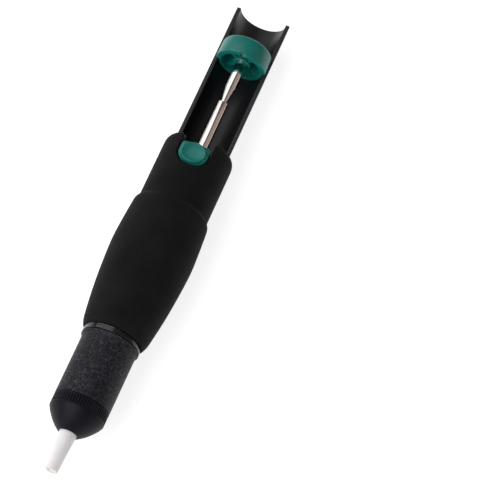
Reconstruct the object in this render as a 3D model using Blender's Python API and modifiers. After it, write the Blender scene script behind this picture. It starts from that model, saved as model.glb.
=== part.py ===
"""Desoldering pump: a spring-loaded suction tool that lies on its side.

Metres, +Z up. The pump's axis runs along X: the nozzle points to -X, the thumb guard to +X,
and the guard's open side, the knob's front and the release button face +Z. The origin is under
the middle of the pump, on the surface that it lies on.

Stations are distances along the axis, measured from the nozzle's tip towards the guard. An
outline is a list of (station, radius) pairs that runs along the outer side first, from the
nozzle's end to the guard's end, and back along the bore.
"""
import math

import bmesh
import bpy

MM = 0.001

# Driving dimensions
LENGTH = 200 * MM
GRIP_RADIUS = 15.75 * MM          # at the bulge, which the pump rests on
GAP = 0.3 * MM                    # clearance between pieces that touch
SEGMENTS = 36                     # around large turned pieces
SMALL_SEGMENTS = 24               # around rods, rings and pins
AXIS_HEIGHT = GRIP_RADIUS * math.cos(math.pi / SEGMENTS)    # the bulge rests on a flat facet

NOZZLE_TIP_RADIUS = 2.5 * MM
NOZZLE_ROOT_RADIUS = 3.3 * MM
NOZZLE_BORE = 1.3 * MM
NOZZLE_FLANGE_RADIUS = 6.4 * MM
FLANGE_START = 18.5 * MM          # the nozzle's flange, inside the cone
FLANGE_END = 19.8 * MM

CONE_START = 14.9 * MM
CONE_CORNER = 22.5 * MM           # where the bullet shape ends and the knurled band starts
CONE_END = 26.65 * MM
CONE_LIP_RADIUS = 3.9 * MM
CONE_HOLE = 3.5 * MM
CONE_RADIUS = 10.4 * MM
CONE_SOCKET = 7.9 * MM
SOCKET_START = 19.9 * MM          # the nose cone's socket, behind its seat for the nozzle

BARREL_START = 21.6 * MM          # front of the spigot that the nose cone screws onto
SPIGOT_RADIUS = 7.6 * MM
MOUTH_RADIUS = 5.8 * MM           # the solder chamber's mouth, inside the spigot
MOUTH_END = 28.0 * MM
CHAMBER_START = 29.5 * MM
CHAMBER_RADIUS = 9.0 * MM
BARREL_SHOULDER = 26.95 * MM
BARREL_END = 52.3 * MM
BARREL_RADIUS = 10.43 * MM
BARREL_LIP_RADIUS = 11.1 * MM
FLARE_LENGTH = 1.7 * MM

CYLINDER_START = 45.0 * MM        # front of the spigot inside the front barrel
CYLINDER_SHOULDER = 52.5 * MM
CYLINDER_END = 117.7 * MM
CYLINDER_RADIUS = 9.6 * MM
CYLINDER_BORE = 8.2 * MM
CYLINDER_SPIGOT_RADIUS = 8.7 * MM
SPIGOT_BORE = 6.6 * MM
SPRING_SHOULDER = 53.3 * MM

COLLAR_START = 52.6 * MM
COLLAR_END = 54.6 * MM
COLLAR_RADIUS = 11.05 * MM
COLLAR_GROOVE = 53.8 * MM         # between the collar's front band and its lower rear band
COLLAR_REAR_RADIUS = 10.9 * MM

GRIP_START = 54.8 * MM
GRIP_FRONT_RADIUS = 11.4 * MM
GRIP_STEP = 109.0 * MM            # moulded step between the bulge and the cuff
GRIP_END = 137.3 * MM
CUFF_RADIUS = 13.5 * MM
CUFF_ROUND = 2.0 * MM

HOUSING_START = 112.0 * MM
HOUSING_RADIUS = 10.7 * MM
HOUSING_BORE = 9.2 * MM
PARTITION_START = 118.0 * MM
PARTITION_END = 121.0 * MM
PARTITION_HOLE = 3.3 * MM
CHANNEL_START = 136.6 * MM        # the guard is open on its +Z side from here to its end

BUTTON_STATION = 129.0 * MM       # where the button's half-oval meets its straight sides
BUTTON_HALF_WIDTH = 5.6 * MM
BUTTON_HALF_OVAL = 4.6 * MM       # from that station to the button's front
BUTTON_BACK = 133.2 * MM          # the button's flat face towards the knob
BUTTON_LOW = 5.6 * MM
BUTTON_SHELF = 12.2 * MM          # top of the button around its pad, above the axis
BUTTON_TOP = 13.7 * MM            # above the axis
BUTTON_TRAVEL = 1.5 * MM
PAD_STATION = 128.9 * MM
PAD_HALF_LENGTH = 4.1 * MM
PAD_HALF_WIDTH = 4.7 * MM
PAD_FLARE = 0.2 * MM
DISH_RADIUS = 16.0 * MM           # of the ball that the pad's hollow is part of
DISH_DEPTH = 0.6 * MM
FLANGE_HALF_WIDTH = 6.5 * MM      # the button's retaining flange, under the window's edges
WINDOW_GAP = 0.3 * MM
NOTCH_GAP = 0.5 * MM
NOTCH_CHAMFER = 1.3 * MM

ROD_RADIUS = 2.2 * MM
ROD_START = 115.5 * MM
ROD_END = 181.6 * MM
STUD_RADIUS = 1.4 * MM
STUD_START = 100.4 * MM
NECK_STATION = 158.85 * MM        # latch groove's sharp shoulder
NECK_LENGTH = 0.75 * MM
NECK_RADIUS = 1.2 * MM
NECK_TAPER_END = 165.8 * MM

KNOB_START = 176.3 * MM
KNOB_END = 184.4 * MM
KNOB_RADIUS = 10.0 * MM           # front half, over the guard's rims
KNOB_BACK_RADIUS = 8.9 * MM       # rear half, inside the guard
KNOB_CAVITY = 7.7 * MM
KNOB_BOSS = 3.6 * MM
KNOB_FACE = 2.2 * MM              # thickness behind the thumb
KNOB_EDGE = 1.2 * MM
KNOB_RIM = 0.4 * MM
KNOB_HOLLOW_RADIUS = 6.0 * MM
WEB_THICKNESS = 1.2 * MM

PISTON_START = 104.2 * MM
PISTON_END = 115.2 * MM
PISTON_RADIUS = 7.9 * MM
PISTON_GROOVE = (108.9 * MM, 110.7 * MM, 6.7 * MM)      # start, end and floor radius
BARREL_GROOVE = (48.0 * MM, 49.6 * MM, 7.5 * MM)
WASHER_RADIUS = 4.0 * MM
NUT_RADIUS = 3.0 * MM
NUT_THICKNESS = 1.8 * MM
SEAT_BORE = 4.5 * MM
SPRING_RADIUS = 6.6 * MM          # to the middle of the wire
SPRING_WIRE = 1.0 * MM
SPRING_TURNS = 11
BUSH_RADIUS = 3.1 * MM
BUSH_FLANGE_RADIUS = 4.6 * MM

LATCH_START = 131.2 * MM
LATCH_END = 132.2 * MM
LATCH_HALF_WIDTH = 4.0 * MM
LATCH_TOP = 9.5 * MM
LATCH_LOW = -5.2 * MM             # underside of the foot, below the axis
FOOT_START = 126.6 * MM
FOOT_HALF_WIDTH = 2.6 * MM
FOOT_THICKNESS = 1.0 * MM
LATCH_SPRING_LOW = -8.7 * MM
LATCH_SPRING_RADIUS = 1.6 * MM
LATCH_SPRING_WIRE = 0.35 * MM
LATCH_SPRING_TURNS = 4

PIN_TIP = 27.0 * MM
PIN_POINT_RADIUS = 0.3 * MM
PIN_POINT_LENGTH = 1.5 * MM
PIN_RADIUS = 0.8 * MM
CROSS_PIN_STATION = 116.6 * MM
CROSS_PIN_RADIUS = 0.8 * MM
CROSS_PIN_LENGTH = 2.1 * MM
CROSS_PIN_MIDDLE = 9.5 * MM       # from the axis to the middle of each cross pin

BLACK = (0.012, 0.012, 0.013)
CHARCOAL = (0.035, 0.036, 0.04)
TEAL = (0.010, 0.175, 0.135)
WHITE = (0.80, 0.79, 0.76)
STEEL = (0.72, 0.70, 0.67)
BRASS = (0.60, 0.42, 0.18)
RUBBER = (0.02, 0.02, 0.02)


def clear_scene():
    for item in list(bpy.data.objects):
        bpy.data.objects.remove(item, do_unlink=True)


def new_collection(name):
    collection = bpy.data.collections.new(name)
    bpy.context.scene.collection.children.link(collection)
    return collection


def material(name, colour, roughness, metallic=0.0):
    """A Principled material, made once and shared by the pieces that use it."""
    found = bpy.data.materials.get(name)
    if found:
        return found
    made = bpy.data.materials.new(name)
    made.use_nodes = True
    shader = made.node_tree.nodes["Principled BSDF"]
    shader.inputs["Base Color"].default_value = (*colour, 1.0)
    shader.inputs["Roughness"].default_value = roughness
    shader.inputs["Metallic"].default_value = metallic
    return made


def place(item, collection):
    for old in list(item.users_collection):
        old.objects.unlink(item)
    collection.objects.link(item)
    return item


def world(station, across=0.0, height=0.0):
    """The world position of a point given along the axis, across it and above it."""
    return (station - LENGTH / 2, across, AXIS_HEIGHT + height)


# Outlines

def arc(station, radius, size, first, last, count=5):
    """Points on a circle of the given size around (station, radius), from first to last degrees.
    0 degrees points along the axis to the guard, 90 degrees points away from the axis."""
    points = []
    for step in range(count + 1):
        angle = math.radians(first + (last - first) * step / count)
        points.append((station + size * math.cos(angle), radius + size * math.sin(angle)))
    return points


def smooth(points, pieces=3):
    """A Catmull-Rom curve through the points."""
    ends = [points[0]] + points + [points[-1]]
    curve = []
    for index in range(1, len(ends) - 2):
        p0, p1, p2, p3 = ends[index - 1:index + 3]
        for step in range(pieces):
            t = step / pieces
            curve.append(tuple(
                0.5 * (2 * b + (c - a) * t + (2 * a - 5 * b + 4 * c - d) * t * t
                       + (3 * b - a - 3 * c + d) * t ** 3)
                for a, b, c, d in zip(p0, p1, p2, p3)))
    curve.append(points[-1])
    return curve


def tube(start, end, inner, outer):
    """The outline of a plain ring or bush."""
    return [(start, inner), (start, outer), (end, outer), (end, inner)]


def chamfered_tube(start, end, inner, outer, chamfer):
    return [(start, inner), (start, outer - chamfer), (start + chamfer, outer),
            (end - chamfer, outer), (end, outer - chamfer), (end, inner)]


# Makers

def turned(name, outline, collection, look=None, segments=SEGMENTS, closed=True):
    """A turned piece. The outline becomes a profile in the local XZ plane with the axis as local
    Z, and the object is turned so that its local Z lies along the world's X, half a segment
    round, so that a facet faces down."""
    mesh = bpy.data.meshes.new(name)
    shape = bmesh.new()
    corners = [shape.verts.new((radius, 0.0, station)) for station, radius in reversed(outline)]
    for first, second in zip(corners, corners[1:]):
        shape.edges.new((first, second))
    if closed:
        shape.edges.new((corners[-1], corners[0]))
    shape.to_mesh(mesh)
    shape.free()
    item = bpy.data.objects.new(name, mesh)
    item.location = world(0.0)
    item.rotation_mode = "ZYX"
    item.rotation_euler = (0.0, math.radians(90), math.pi / segments)
    collection.objects.link(item)
    screw = item.modifiers.new("turn", "SCREW")
    screw.axis = "Z"
    screw.steps = segments
    screw.render_steps = segments
    screw.use_merge_vertices = True
    screw.merge_threshold = 0.00001
    screw.use_smooth_shade = True
    if look:
        mesh.materials.append(look)
    return item


def box(name, low, high, collection, look=None):
    """A block between two corners, each given as (station, across, height)."""
    centre = [(a + b) / 2 for a, b in zip(low, high)]
    bpy.ops.mesh.primitive_cube_add(size=1.0, location=world(*centre))
    item = bpy.context.object
    item.name = name
    item.scale = [b - a for a, b in zip(low, high)]
    bpy.ops.object.transform_apply(location=False, rotation=False, scale=True)
    place(item, collection)
    if look:
        item.data.materials.append(look)
    return item


def cylinder(name, centre, radius, depth, axis, collection, look=None, vertices=SMALL_SEGMENTS):
    """A cylinder about (station, across, height), along the world axis X, Y or Z."""
    turn = {"X": (0.0, math.radians(90), 0.0), "Y": (math.radians(90), 0.0, 0.0),
            "Z": (0.0, 0.0, 0.0)}[axis]
    bpy.ops.mesh.primitive_cylinder_add(vertices=vertices, radius=radius, depth=depth,
                                        location=world(*centre), rotation=turn)
    item = bpy.context.object
    item.name = name
    place(item, collection)
    if look:
        item.data.materials.append(look)
    return item


def oval(name, station, half_length, half_width, low, high, collection, look=None):
    """An upright oval block between two heights."""
    bpy.ops.mesh.primitive_cylinder_add(vertices=40, radius=1.0, depth=high - low,
                                        location=world(station, 0.0, (low + high) / 2))
    item = bpy.context.object
    item.name = name
    item.scale = (half_length, half_width, 1.0)
    bpy.ops.object.transform_apply(location=False, rotation=False, scale=True)
    place(item, collection)
    if look:
        item.data.materials.append(look)
    return item


def hide_cutter(item):
    item.hide_render = True
    item.display_type = "WIRE"
    return item


def boolean(item, other, operation="DIFFERENCE"):
    modifier = item.modifiers.new(operation.lower(), "BOOLEAN")
    modifier.operation = operation
    modifier.solver = "EXACT"
    modifier.object = other
    return modifier


def coil(name, start, direction, length, radius, wire, turns, collection, look):
    """A round-wire compression spring with a closed turn at each end."""
    per_turn = 12
    closed_pitch = wire * 1.12
    count = turns * per_turn
    open_pitch = (length - wire - 2 * closed_pitch) / (turns - 2)
    points = []
    height = wire / 2
    for step in range(count + 1):
        angle = 2 * math.pi * step / per_turn
        side = (radius * math.cos(angle), radius * math.sin(angle))
        if direction == "X":
            points.append((start[0] + height, start[1] + side[0], start[2] + side[1]))
        else:
            points.append((start[0] + side[0], start[1] + side[1], start[2] + height))
        closed = step < per_turn or step >= count - per_turn
        height += (closed_pitch if closed else open_pitch) / per_turn
    curve = bpy.data.curves.new(name, "CURVE")
    curve.dimensions = "3D"
    curve.bevel_depth = wire / 2
    curve.bevel_resolution = 2
    curve.use_fill_caps = True
    spline = curve.splines.new("POLY")
    spline.points.add(len(points) - 1)
    for spot, point in zip(spline.points, points):
        spot.co = (*world(*point), 1.0)
    curve.materials.append(look)
    item = bpy.data.objects.new(name, curve)
    collection.objects.link(item)
    return item


# Nose

def build_nozzle(parts):
    edge = 0.35 * MM
    outline = [(0.0, NOZZLE_BORE), (0.0, NOZZLE_TIP_RADIUS - edge)]
    outline += arc(edge, NOZZLE_TIP_RADIUS - edge, edge, 150, 90, 2)
    outline += [
        (CONE_START, NOZZLE_ROOT_RADIUS),
        (FLANGE_START, NOZZLE_ROOT_RADIUS),
        (FLANGE_START, NOZZLE_FLANGE_RADIUS),
        (FLANGE_END, NOZZLE_FLANGE_RADIUS),
        (FLANGE_END, NOZZLE_BORE),
    ]
    look = material("white_ptfe", WHITE, 0.45)
    return turned("nozzle", outline, parts, look, SMALL_SEGMENTS)


def build_nose_cone(parts):
    edge = 0.25 * MM
    seat = NOZZLE_FLANGE_RADIUS + GAP
    bullet = smooth([
        (CONE_START, CONE_LIP_RADIUS),
        (16.1 * MM, 5.45 * MM),
        (17.7 * MM, 7.1 * MM),
        (19.35 * MM, 8.45 * MM),
        (21.0 * MM, 9.65 * MM),
        (CONE_CORNER, CONE_RADIUS),
    ], 2)
    outline = [(CONE_START, CONE_HOLE)] + bullet + [
        (CONE_END - edge, CONE_RADIUS),
        (CONE_END, CONE_RADIUS - edge),
        (CONE_END, CONE_SOCKET),
        (SOCKET_START, CONE_SOCKET),
        (SOCKET_START, seat),
        (FLANGE_START - GAP, seat),
        (FLANGE_START - GAP, CONE_HOLE),
    ]
    return turned("nose_cone", outline, parts, material("black_satin", BLACK, 0.35))


def build_nose_o_ring(parts):
    section = 0.6 * MM
    outline = arc((FLANGE_END + BARREL_START) / 2, 6.6 * MM, section, 180, -180, 8)[:-1]
    return turned("nose_o_ring", outline, parts, material("black_rubber", RUBBER, 0.6),
                  SMALL_SEGMENTS)


# Barrels

def build_front_barrel(parts):
    edge = 0.3 * MM
    lip = 0.35 * MM
    flare = BARREL_END - FLARE_LENGTH
    outline = [
        (BARREL_START, MOUTH_RADIUS),
        (BARREL_START, SPIGOT_RADIUS - edge),
        (BARREL_START + edge, SPIGOT_RADIUS),
        (BARREL_SHOULDER, SPIGOT_RADIUS),
        (BARREL_SHOULDER, BARREL_RADIUS - edge),
        (BARREL_SHOULDER + edge, BARREL_RADIUS),
        (flare, BARREL_RADIUS),
        (flare + FLARE_LENGTH / 3, BARREL_RADIUS + 0.2 * MM),
        (flare + FLARE_LENGTH * 2 / 3, BARREL_LIP_RADIUS - 0.15 * MM),
    ]
    outline += arc(BARREL_END - lip, BARREL_LIP_RADIUS - lip, lip, 80, 10, 3)
    outline += [
        (BARREL_END, CHAMBER_RADIUS),
        (CHAMBER_START, CHAMBER_RADIUS),
        (MOUTH_END, MOUTH_RADIUS),
    ]
    return turned("front_barrel", outline, parts, material("charcoal_grain", CHARCOAL, 0.5))


def build_barrel_o_ring(parts):
    start, end, _ = BARREL_GROOVE
    outline = arc((start + end) / 2, 8.3 * MM, 0.5 * MM, 180, -180, 8)[:-1]
    return turned("barrel_o_ring", outline, parts, material("black_rubber", RUBBER, 0.6))


def build_collar(parts):
    """A ring with a front band and a slightly lower rear band, with a groove between them."""
    edge = 0.15 * MM
    bore = CYLINDER_RADIUS + GAP
    outline = [
        (COLLAR_START, bore),
        (COLLAR_START, COLLAR_RADIUS - edge),
        (COLLAR_START + edge, COLLAR_RADIUS),
        (COLLAR_GROOVE - edge, COLLAR_RADIUS),
        (COLLAR_GROOVE - edge / 3, COLLAR_REAR_RADIUS - edge),
        (COLLAR_GROOVE + edge / 3, COLLAR_REAR_RADIUS - edge),
        (COLLAR_GROOVE + edge, COLLAR_REAR_RADIUS),
        (COLLAR_END, COLLAR_REAR_RADIUS),
        (COLLAR_END, bore),
    ]
    return turned("collar", outline, parts, material("black_gloss", BLACK, 0.12))


def cross_pin_hole(cutters):
    return hide_cutter(cylinder("cross_pin_hole", (CROSS_PIN_STATION, 0.0, 0.0),
                                CROSS_PIN_RADIUS + 0.2 * MM, 30 * MM, "Y", cutters, vertices=16))


def build_main_barrel(parts, pin_hole):
    start, end, floor = BARREL_GROOVE
    edge = 0.3 * MM
    outline = [
        (CYLINDER_START, SPIGOT_BORE),
        (CYLINDER_START, CYLINDER_SPIGOT_RADIUS - edge),
        (CYLINDER_START + edge, CYLINDER_SPIGOT_RADIUS),
        (start, CYLINDER_SPIGOT_RADIUS),
        (start, floor),
        (end, floor),
        (end, CYLINDER_SPIGOT_RADIUS),
        (CYLINDER_SHOULDER, CYLINDER_SPIGOT_RADIUS),
        (CYLINDER_SHOULDER, CYLINDER_RADIUS),
        (CYLINDER_END, CYLINDER_RADIUS),
        (CYLINDER_END, CYLINDER_BORE),
        (SPRING_SHOULDER, CYLINDER_BORE),
        (SPRING_SHOULDER, SPIGOT_BORE),
    ]
    item = turned("main_barrel", outline, parts, material("black_satin", BLACK, 0.35))
    boolean(item, pin_hole)
    return item


def build_cross_pins(parts):
    look = material("steel", STEEL, 0.25, 1.0)
    for side, sign in (("left", 1), ("right", -1)):
        cylinder("housing_pin_" + side, (CROSS_PIN_STATION, sign * CROSS_PIN_MIDDLE, 0.0),
                 CROSS_PIN_RADIUS, CROSS_PIN_LENGTH, "Y", parts, look, vertices=16)


# Spring and piston

def build_spring_seat(parts):
    outline = tube(SPRING_SHOULDER + GAP, SPRING_SHOULDER + 1.3 * MM, SEAT_BORE,
                   CYLINDER_BORE - GAP)
    return turned("spring_seat", outline, parts, material("steel", STEEL, 0.25, 1.0),
                  SMALL_SEGMENTS)


def build_main_spring(parts):
    start = SPRING_SHOULDER + 1.3 * MM + GAP
    length = PISTON_START - GAP - start
    return coil("main_spring", (start, 0.0, 0.0), "X", length, SPRING_RADIUS, SPRING_WIRE,
                SPRING_TURNS, parts, material("steel", STEEL, 0.25, 1.0))


def build_piston(parts):
    start, end, floor = PISTON_GROOVE
    outline = chamfered_tube(PISTON_START, PISTON_END, STUD_RADIUS + GAP, PISTON_RADIUS,
                             0.4 * MM)
    outline[3:3] = [(start, PISTON_RADIUS), (start, floor), (end, floor), (end, PISTON_RADIUS)]
    return turned("piston", outline, parts, material("white_ptfe", WHITE, 0.45))


def build_piston_o_ring(parts):
    start, end, _ = PISTON_GROOVE
    outline = arc((start + end) / 2, 7.5 * MM, 0.6 * MM, 180, -180, 8)[:-1]
    return turned("piston_o_ring", outline, parts, material("black_rubber", RUBBER, 0.6))


def build_piston_washer(parts):
    outline = tube(PISTON_START - 1.1 * MM, PISTON_START - GAP, STUD_RADIUS + GAP,
                   WASHER_RADIUS)
    return turned("piston_washer", outline, parts, material("steel", STEEL, 0.25, 1.0),
                  SMALL_SEGMENTS)


def build_piston_nut(parts, cutters):
    end = PISTON_START - 1.1 * MM - GAP
    middle = end - NUT_THICKNESS / 2
    item = cylinder("piston_nut", (middle, 0.0, 0.0), NUT_RADIUS, NUT_THICKNESS, "X", parts,
                    material("steel", STEEL, 0.25, 1.0), vertices=6)
    hole = cylinder("nut_hole", (middle, 0.0, 0.0), STUD_RADIUS + GAP, 2 * NUT_THICKNESS, "X",
                    cutters)
    boolean(item, hide_cutter(hole))
    return item


def build_piston_rod(parts):
    outline = [
        (STUD_START, 0.0),
        (STUD_START, STUD_RADIUS),
        (ROD_START, STUD_RADIUS),
        (ROD_START, ROD_RADIUS),
        (NECK_STATION, ROD_RADIUS),
        (NECK_STATION, NECK_RADIUS),
        (NECK_STATION + NECK_LENGTH, NECK_RADIUS),
        (NECK_TAPER_END, ROD_RADIUS),
        (ROD_END, ROD_RADIUS),
        (ROD_END, 0.0),
    ]
    return turned("piston_rod", outline, parts, material("polished_steel", STEEL, 0.12, 1.0),
                  SMALL_SEGMENTS, closed=False)


def build_cleaning_pin(parts):
    outline = [
        (PIN_TIP, 0.0),
        (PIN_TIP, PIN_POINT_RADIUS),
        (PIN_TIP + PIN_POINT_LENGTH, PIN_RADIUS),
        (STUD_START - GAP, PIN_RADIUS),
        (STUD_START - GAP, 0.0),
    ]
    return turned("cleaning_pin", outline, parts, material("steel", STEEL, 0.25, 1.0), 16,
                  closed=False)


def build_bumper(parts):
    outline = chamfered_tube(PISTON_END + 0.4 * MM, CYLINDER_END, ROD_RADIUS + 0.5 * MM,
                             CYLINDER_BORE - GAP, 0.4 * MM)
    return turned("bumper", outline, parts, material("black_rubber", RUBBER, 0.6),
                  SMALL_SEGMENTS)


def build_rod_bush(parts):
    bore = ROD_RADIUS + 0.1 * MM
    start = PARTITION_START + 0.2 * MM
    shoulder = PARTITION_END + GAP
    end = shoulder + 1.0 * MM
    outline = [
        (start, bore),
        (start, BUSH_RADIUS),
        (shoulder, BUSH_RADIUS),
        (shoulder, BUSH_FLANGE_RADIUS),
        (end, BUSH_FLANGE_RADIUS),
        (end, bore),
    ]
    return turned("rod_bush", outline, parts, material("brass", BRASS, 0.3, 1.0),
                  SMALL_SEGMENTS)


# Grip, guard and knob

def notch_cutters(name, gap, low, high, cutters):
    """The button's opening: half-oval towards the nozzle and open towards the guard."""
    half_width = BUTTON_HALF_WIDTH + gap
    oval_end = oval(name + "_oval", BUTTON_STATION, BUTTON_HALF_OVAL + gap, half_width, low,
                    high, cutters)
    straight = box(name + "_straight", (BUTTON_STATION, -half_width, low),
                   (GRIP_END + 3 * MM, half_width, high), cutters)
    boolean(hide_cutter(oval_end), hide_cutter(straight), "UNION")
    return oval_end


def build_grip(parts, cutters):
    bulge = smooth([
        (GRIP_START + 0.35 * MM, 11.75 * MM),
        (57.5 * MM, 12.6 * MM),
        (62.0 * MM, 13.3 * MM),
        (70.0 * MM, 14.35 * MM),
        (80.0 * MM, 15.2 * MM),
        (90.0 * MM, GRIP_RADIUS),
        (99.0 * MM, 15.35 * MM),
        (GRIP_STEP - 1.5 * MM, 14.75 * MM),
    ], 2)
    outline = [(GRIP_START, CYLINDER_RADIUS + GAP), (GRIP_START, GRIP_FRONT_RADIUS)] + bulge
    outline += [(GRIP_STEP - 0.3 * MM, 14.3 * MM), (GRIP_STEP + 0.6 * MM, CUFF_RADIUS)]
    outline += arc(GRIP_END - CUFF_ROUND, CUFF_RADIUS - CUFF_ROUND, CUFF_ROUND, 90, 0, 5)
    outline += [
        (GRIP_END, HOUSING_RADIUS + GAP),
        (HOUSING_START - GAP, HOUSING_RADIUS + GAP),
        (HOUSING_START - GAP, CYLINDER_RADIUS + GAP),
    ]
    item = turned("grip", outline, parts, material("black_soft", BLACK, 0.85))
    low = 5 * MM
    high = 20 * MM
    boolean(item, notch_cutters("grip_notch", NOTCH_GAP, low, high, cutters))
    for side in (-1, 1):
        corner = box("grip_corner_left" if side > 0 else "grip_corner_right",
                     (-NOTCH_CHAMFER, -NOTCH_CHAMFER, 0.0), (NOTCH_CHAMFER, NOTCH_CHAMFER, high - low),
                     cutters)
        corner.location = world(GRIP_END, side * (BUTTON_HALF_WIDTH + NOTCH_GAP), (low + high) / 2)
        corner.rotation_euler = (0.0, 0.0, math.radians(45))
        boolean(item, hide_cutter(corner))
    return item


def build_rear_housing(parts, cutters, pin_hole):
    bore = CYLINDER_RADIUS + GAP
    outline = [
        (HOUSING_START, bore),
        (HOUSING_START, HOUSING_RADIUS),
        (LENGTH, HOUSING_RADIUS),
        (LENGTH, HOUSING_BORE),
        (PARTITION_END, HOUSING_BORE),
        (PARTITION_END, PARTITION_HOLE),
        (PARTITION_START, PARTITION_HOLE),
        (PARTITION_START, bore),
    ]
    item = turned("rear_housing", outline, parts, material("black_satin", BLACK, 0.35))
    opening = box("channel_opening", (CHANNEL_START, -15 * MM, 0.0),
                  (LENGTH + 5 * MM, 15 * MM, 15 * MM), cutters)
    boolean(item, hide_cutter(opening))
    boolean(item, notch_cutters("window", WINDOW_GAP, 4 * MM, 14 * MM, cutters))
    boolean(item, pin_hole)
    return item


def build_knob(parts, cutters):
    floor = KNOB_END - KNOB_FACE
    outline = [
        (KNOB_START, KNOB_CAVITY),
        (KNOB_START, KNOB_RADIUS - KNOB_RIM),
        (KNOB_START + KNOB_RIM, KNOB_RADIUS),
    ]
    outline += arc(KNOB_END - KNOB_EDGE, KNOB_RADIUS - KNOB_EDGE, KNOB_EDGE, 90, 10, 4)
    outline += [
        (KNOB_END - 0.5 * MM, KNOB_HOLLOW_RADIUS),
        (KNOB_END - 0.8 * MM, 0.0),
    ]
    boss_start = KNOB_START + 1.0 * MM
    outline = [(boss_start, 0.0), (boss_start, KNOB_BOSS), (floor, KNOB_BOSS),
               (floor, KNOB_CAVITY)] + outline
    item = turned("knob", outline, parts, material("teal_plastic", TEAL, 0.3), closed=False)
    half = KNOB_CAVITY + 0.2 * MM
    for index, lean in enumerate((45, -45)):
        web = box("knob_web_%d" % index,
                  (boss_start + 0.6 * MM, -half, -WEB_THICKNESS / 2),
                  (floor + 0.5 * MM, half, WEB_THICKNESS / 2), cutters)
        web.rotation_euler = (math.radians(lean), 0.0, 0.0)
        boolean(item, hide_cutter(web), "UNION")
    bore_depth = 10 * MM
    bore = cylinder("knob_bore", (ROD_END + GAP - bore_depth / 2, 0.0, 0.0), ROD_RADIUS + GAP,
                    bore_depth, "X", cutters)
    boolean(item, hide_cutter(bore))
    ring = turned("knob_side_ring",
                  tube(KNOB_START - 2 * MM, KNOB_END + 2 * MM, KNOB_BACK_RADIUS, 13 * MM),
                  cutters)
    front = box("knob_front_space", (KNOB_START - 5 * MM, -15 * MM, GAP),
                (KNOB_END + 5 * MM, 15 * MM, 15 * MM), cutters)
    boolean(hide_cutter(ring), hide_cutter(front))
    boolean(item, ring)
    notch = box("knob_rim_notch", (KNOB_START - 1 * MM, -0.6 * MM, 7 * MM),
                (KNOB_START + 0.8 * MM, 0.6 * MM, 12 * MM), cutters)
    boolean(item, hide_cutter(notch))
    return item


# Button and latch

def pad_cap(cutters):
    """The button's oval pad, a little wider at its foot than at its top."""
    height = BUTTON_TOP - BUTTON_SHELF + 1.0 * MM
    bpy.ops.mesh.primitive_cone_add(
        vertices=40, radius1=1.0, radius2=1.0 - PAD_FLARE / PAD_HALF_WIDTH, depth=height,
        location=world(PAD_STATION, 0.0, BUTTON_TOP - height / 2))
    cap = place(bpy.context.object, cutters)
    cap.name = "button_cap"
    cap.scale = (PAD_HALF_LENGTH + PAD_FLARE, PAD_HALF_WIDTH + PAD_FLARE, 1.0)
    return cap


def build_release_button(parts, cutters):
    """A half-oval base with a flange under the window's edge, a dished pad and the plate's slot."""
    slack = 0.02 * MM
    side = BUTTON_HALF_WIDTH - slack
    item = oval("release_button", BUTTON_STATION, BUTTON_HALF_OVAL, BUTTON_HALF_WIDTH,
                BUTTON_LOW, BUTTON_SHELF, parts, material("teal_plastic", TEAL, 0.3))
    behind = box("button_rear_space", (BUTTON_BACK, -10 * MM, BUTTON_LOW - 1 * MM),
                 (BUTTON_BACK + 5 * MM, 10 * MM, BUTTON_TOP + 1 * MM), cutters)
    back = box("button_back", (BUTTON_STATION, -side, BUTTON_LOW),
               (BUTTON_BACK, side, BUTTON_SHELF - 0.4 * MM), cutters)
    flange = box("button_flange", (BUTTON_STATION - 4.2 * MM, -FLANGE_HALF_WIDTH, 4.8 * MM),
                 (BUTTON_BACK - 0.4 * MM, FLANGE_HALF_WIDTH, 6.1 * MM), cutters)
    bpy.ops.mesh.primitive_uv_sphere_add(
        segments=40, ring_count=24, radius=DISH_RADIUS,
        location=world(PAD_STATION, 0.0, BUTTON_TOP - DISH_DEPTH + DISH_RADIUS))
    dish = place(bpy.context.object, cutters)
    dish.name = "button_dish"
    play = 0.15 * MM
    slot = box("latch_slot", (LATCH_START - play, -LATCH_HALF_WIDTH - play, 4 * MM),
               (LATCH_END + play, LATCH_HALF_WIDTH + play, LATCH_TOP + GAP), cutters)
    for other, operation in ((back, "UNION"), (flange, "UNION"), (pad_cap(cutters), "UNION"),
                             (dish, "DIFFERENCE"), (slot, "DIFFERENCE"),
                             (behind, "DIFFERENCE")):
        boolean(item, hide_cutter(other), operation)
    return item


def build_latch_plate(parts, cutters):
    """An upright plate with a tall hole for the rod, and a foot that the latch spring lifts."""
    slack = 0.01 * MM
    hole_radius = ROD_RADIUS + 0.25 * MM
    item = box("latch_plate", (LATCH_START, -LATCH_HALF_WIDTH, LATCH_LOW),
               (LATCH_END, LATCH_HALF_WIDTH, LATCH_TOP), parts,
               material("steel", STEEL, 0.25, 1.0))
    foot = box("latch_foot", (FOOT_START, -FOOT_HALF_WIDTH, LATCH_LOW + slack),
               (LATCH_START + 0.5 * MM, FOOT_HALF_WIDTH, LATCH_LOW + FOOT_THICKNESS), cutters)
    boolean(item, hide_cutter(foot), "UNION")
    depth = 6 * MM
    hole = cylinder("latch_hole", (LATCH_START, 0.0, 0.0), hole_radius, depth, "X", cutters)
    raised = cylinder("latch_hole_top", (LATCH_START, 0.0, BUTTON_TRAVEL), hole_radius,
                      depth + 0.2 * MM, "X", cutters)
    middle = box("latch_hole_middle", (LATCH_START - depth / 2 - 0.05 * MM,
                                       -hole_radius + slack, 0.0),
                 (LATCH_START + depth / 2 + 0.05 * MM, hole_radius - slack, BUTTON_TRAVEL),
                 cutters)
    boolean(hide_cutter(hole), hide_cutter(raised), "UNION")
    boolean(hole, hide_cutter(middle), "UNION")
    boolean(item, hole)
    return item


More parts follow.
